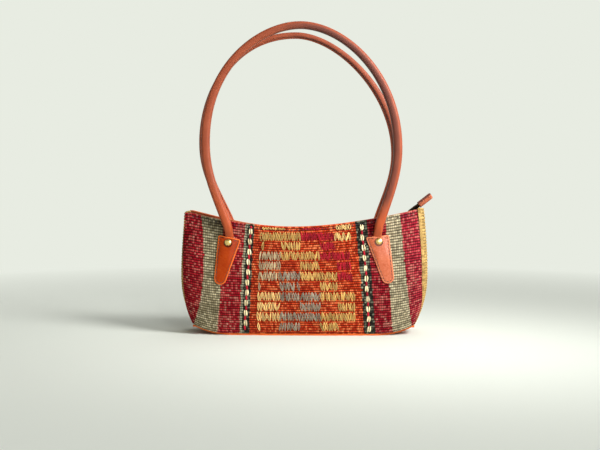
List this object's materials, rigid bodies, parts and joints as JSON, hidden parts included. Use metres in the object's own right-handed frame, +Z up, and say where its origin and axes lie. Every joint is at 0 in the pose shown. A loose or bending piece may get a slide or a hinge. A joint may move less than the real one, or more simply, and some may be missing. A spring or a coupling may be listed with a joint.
{
  "type": "kilim baguette bag",
  "caption": "Low, wide handbag of striped and brocaded kilim wool on a leather base, with a curved zip mouth and rolled leather handles under riveted tabs.",
  "frame": {"origin": "middle of the leather base's underside, on the surface that the bag stands on", "axes": "+X along the bag towards the zip pull, -Y to the front panel, +Z up"},
  "size_m": [0.349, 0.0908, 0.4225],
  "materials": {
    "kilim": "weft-faced wool, ribbed",
    "gusset": "weft-faced wool, mustard",
    "leather": "smooth tan, satin",
    "lining": "plain cotton, matte",
    "zip_tape": "woven tape, matte",
    "brass": "polished",
    "zip_metal": "dark antique"
  },
  "bodies": {
    "bag": {"front_panel": "kilim", "back_panel": "kilim", "front_left_tab": "leather", "front_right_tab": "leather", "back_left_tab": "leather", "back_right_tab": "leather", "front_left_handle_end": "leather", "front_right_handle_end": "leather", "back_left_handle_end": "leather", "back_right_handle_end": "leather", "front_left_rivet": "brass", "front_right_rivet": "brass", "back_left_rivet": "brass", "back_right_rivet": "brass", "left_gusset": "gusset", "right_gusset": "gusset", "leather_base": "leather", "front_facing": "leather", "back_facing": "leather", "lining": "lining", "front_zip_tape": "zip_tape", "back_zip_tape": "zip_tape", "front_zip_teeth": "zip_metal", "back_zip_teeth": "zip_metal", "zip_left_stop": "zip_metal", "zip_right_stop": "zip_metal"},
    "front_handle": {"front_handle": "leather"},
    "back_handle": {"back_handle": "leather"},
    "zip_slider": {"zip_slider": "zip_metal"},
    "zip_pull": {"zip_pull_link": "zip_metal", "zip_pull_leather": "leather"}
  },
  "joints": [
    {"name": "front_handle_swing", "type": "hinge", "parent": "bag", "child": "front_handle", "pos_m": [0, -0.03222, 0.1377], "axis": [1, 0, 0], "range_deg": [-6, 105], "stiffness_Nm_per_rad": 0.4},
    {"name": "back_handle_swing", "type": "hinge", "parent": "bag", "child": "back_handle", "pos_m": [0, 0.03222, 0.1377], "axis": [-1, 0, 0], "range_deg": [-6, 105], "stiffness_Nm_per_rad": 0.4},
    {"name": "zip_run", "type": "hinge", "parent": "bag", "child": "zip_slider", "pos_m": [0, 0, 0.77976], "axis": [0, 1, 0], "range_deg": [0, 25.4]},
    {"name": "zip_pull_swing", "type": "hinge", "parent": "zip_slider", "child": "zip_pull", "pos_m": [0.13967, 0, 0.16092], "axis": [0, -1, 0], "range_deg": [0, 130]}
  ]
}
